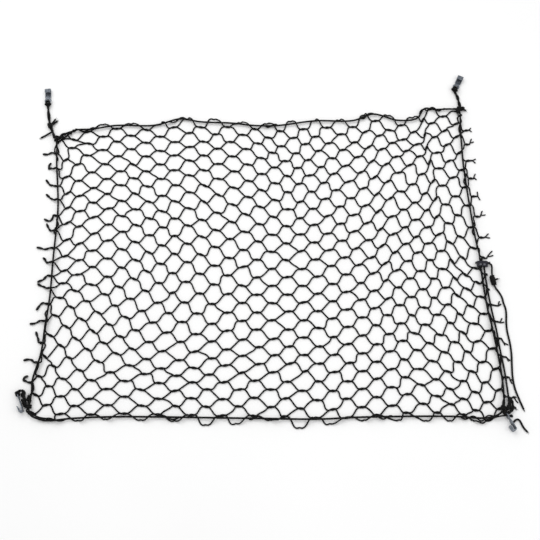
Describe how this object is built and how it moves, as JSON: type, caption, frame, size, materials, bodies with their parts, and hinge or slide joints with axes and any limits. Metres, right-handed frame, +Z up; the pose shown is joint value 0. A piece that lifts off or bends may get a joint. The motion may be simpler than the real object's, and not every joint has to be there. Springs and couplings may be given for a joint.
{
  "type": "cargo net",
  "caption": "Knotless black cargo net for a load bed, laid flat, with a draw cord through its edge loops, a cord lock, a loose cord end and steel hooks on corner tethers.",
  "frame": {"origin": "on the supporting surface, on the underside of the mesh joint at the middle of the panel", "axes": "+X along the long side, +Y towards the far long side, away from the viewer, +Z up from the surface"},
  "size_m": [1.317, 1.0806, 0.0201],
  "materials": {
    "net": "knotless twisted polyester strands, black, slight sheen",
    "cord": "braided polyester cord, black, satin",
    "lock": "moulded, blue-black, glossy",
    "steel": "stamped zinc-plated steel, bright with dull folds"
  },
  "bodies": {
    "root": {"net": "net", "draw_cord": "cord", "lock_cord": "cord", "cord_lock": "lock", "loose_cord": "cord", "stopper_knot": "cord", "corner_cord_end": "cord", "hook_far_left": "steel", "hook_far_right": "steel", "hook_near_left": "steel", "hook_near_right": "steel", "tether_far_left": "cord", "tether_far_right": "cord", "tether_near_left": "cord", "tether_near_right": "cord"}
  },
  "joints": []
}
